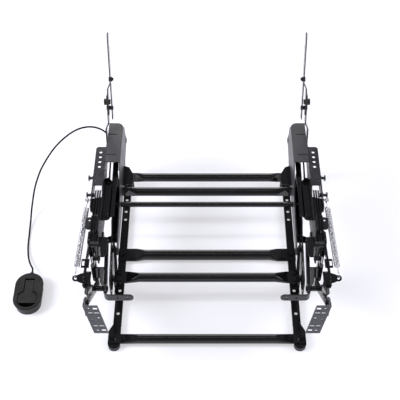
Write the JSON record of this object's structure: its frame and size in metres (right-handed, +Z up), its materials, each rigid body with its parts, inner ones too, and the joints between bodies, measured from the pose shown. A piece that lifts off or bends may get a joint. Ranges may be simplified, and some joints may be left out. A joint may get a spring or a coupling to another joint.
{
  "type": "recliner mechanism",
  "caption": "Steel recliner chair mechanism with folding footrest linkage, gliding seat rails, back arms, springs and a cable release handle.",
  "frame": {"origin": "middle of the four base bolt holes on the top face of the floor rails", "axes": "+X to the right, +Y to the rear, +Z up; the front faces -Y"},
  "size_m": [0.8615, 0.6893, 0.5269],
  "materials": {
    "paint": "gloss black coat",
    "zinc": "bright zinc",
    "plastic": "moulded satin",
    "sheath": "extruded satin"
  },
  "bodies": {
    "base": {"base_rail_left": "paint", "base_rail_right": "paint", "feet": "plastic", "front_cross_tube": "paint", "middle_cross_tube": "paint", "rear_cross_tube": "paint", "rear_tower_left": "paint", "rear_tower_right": "paint", "front_lugs": "paint", "base_bolts": "paint", "cable_bracket": "paint", "cable_ferrule": "zinc", "release_cable": "sheath", "cable_gland": "plastic", "handle_housing": "plastic", "handle_face": "plastic", "paddle_pin": "zinc"},
    "paddle": {"release_paddle": "plastic"},
    "lever": {"release_lever": "paint"},
    "wire": {"release_wire": "zinc"},
    "front_swing": {"front_swing_left": "paint", "front_swing_right": "paint", "front_torque_tube": "paint", "torque_bolts": "paint"},
    "rear_swing": {"rear_swing_left": "paint", "rear_swing_right": "paint"},
    "recline_rod": {"recline_rod_left": "paint", "recline_rod_right": "paint"},
    "carriage": {"seat_rail_left": "paint", "seat_rail_right": "paint", "side_bracket_left": "paint", "side_bracket_right": "paint", "rear_torque_tube": "paint", "cross_rod": "paint", "outer_studs": "paint", "spring_pins": "zinc", "spacer_straps": "paint"},
    "back": {"back_arm_left": "paint", "back_arm_right": "paint", "back_tongue_left": "paint", "back_tongue_right": "paint", "back_bolts": "paint", "back_knobs": "plastic"},
    "main_link": {"main_link_left": "paint", "main_link_right": "paint"},
    "spring_crank": {"spring_crank_left": "paint", "spring_crank_right": "paint"},
    "long_link": {"long_link_left": "paint", "long_link_right": "paint"},
    "guide_link": {"guide_link_left": "paint", "guide_link_right": "paint"},
    "footrest": {"footrest_bracket_left": "paint", "footrest_bracket_right": "paint"},
    "flap": {"flap_bracket_left": "paint", "flap_bracket_right": "paint"},
    "springs": {"spring_left": "zinc", "spring_right": "zinc"}
  },
  "joints": [
    {"name": "seat_glide", "type": "hinge", "parent": "base", "child": "front_swing", "pos_m": [0, -0.11, 0.03], "axis": [1, 0, 0], "range_deg": [0, 44]},
    {"name": "carriage_level", "type": "hinge", "parent": "front_swing", "child": "carriage", "pos_m": [0, -0.07441, 0.11808], "axis": [-1, 0, 0], "range_deg": [0, 44.2]},
    {"name": "rear_glide", "type": "hinge", "parent": "base", "child": "rear_swing", "pos_m": [0, 0.27, 0.06], "axis": [1, 0, 0], "range_deg": [0, 44.2]},
    {"name": "back_recline", "type": "hinge", "parent": "carriage", "child": "back", "pos_m": [0, 0.243, 0.18798], "axis": [-1, 0, 0], "range_deg": [0, 32.2]},
    {"name": "rod_level", "type": "hinge", "parent": "back", "child": "recline_rod", "pos_m": [0, 0.24974, 0.16447], "axis": [1, 0, 0], "range_deg": [0, 32.2]},
    {"name": "footrest_extend", "type": "hinge", "parent": "carriage", "child": "main_link", "pos_m": [0, -0.135, 0.164], "axis": [-1, 0, 0], "range_deg": [0, 92]},
    {"name": "crank_turn", "type": "hinge", "parent": "carriage", "child": "spring_crank", "pos_m": [0, -0.1111, 0.1915], "axis": [-1, 0, 0], "range_deg": [0, 87]},
    {"name": "long_link_turn", "type": "hinge", "parent": "main_link", "child": "long_link", "pos_m": [0, -0.12323, 0.02951], "axis": [1, 0, 0], "range_deg": [0, 120]},
    {"name": "guide_link_turn", "type": "hinge", "parent": "main_link", "child": "guide_link", "pos_m": [0, -0.13286, 0.06003], "axis": [1, 0, 0], "range_deg": [0, 120]},
    {"name": "footrest_turn", "type": "hinge", "parent": "long_link", "child": "footrest", "pos_m": [0, -0.30095, 0.19816], "axis": [-1, 0, 0], "range_deg": [0, 120]},
    {"name": "flap_turn", "type": "hinge", "parent": "guide_link", "child": "flap", "pos_m": [0, -0.2075, 0.13086], "axis": [-1, 0, 0], "range_deg": [0, 120]},
    {"name": "spring_follow", "type": "hinge", "parent": "carriage", "child": "springs", "pos_m": [0, 0.015, 0.221], "axis": [-1, 0, 0], "range_deg": [0, 40], "deforming": ["spring_left", "spring_right"]},
    {"name": "paddle_pull", "type": "hinge", "parent": "base", "child": "paddle", "pos_m": [-0.489, -0.104, 0.005], "axis": [-1, 0, 0], "range_deg": [0, 30], "stiffness_Nm_per_rad": 0.4},
    {"name": "lever_turn", "type": "hinge", "parent": "base", "child": "lever", "pos_m": [0, 0.268, 0.03], "axis": [1, 0, 0], "range_deg": [0, 14.2]},
    {"name": "wire_pull", "type": "slide", "parent": "base", "child": "wire", "axis": [0, 0, 1], "range_m": [0, 0.0075]}
  ],
  "couplings": [
    {"joint": "carriage_level", "follows": "seat_glide", "ratio": 1},
    {"joint": "rear_glide", "follows": "seat_glide", "ratio": 1},
    {"joint": "back_recline", "follows": "seat_glide", "ratio": 0.72727},
    {"joint": "rod_level", "follows": "seat_glide", "ratio": 0.72727},
    {"joint": "crank_turn", "follows": "footrest_extend", "ratio": 0.94},
    {"joint": "long_link_turn", "follows": "footrest_extend", "ratio": 1.3},
    {"joint": "guide_link_turn", "follows": "footrest_extend", "ratio": 1.3},
    {"joint": "footrest_turn", "follows": "footrest_extend", "ratio": 1.3},
    {"joint": "flap_turn", "follows": "footrest_extend", "ratio": 1.3},
    {"joint": "spring_follow", "follows": "footrest_extend", "ratio": 0.423},
    {"joint": "lever_turn", "follows": "paddle_pull", "ratio": 0.46667},
    {"joint": "wire_pull", "follows": "paddle_pull", "m_per_rad": 0.013942}
  ]
}
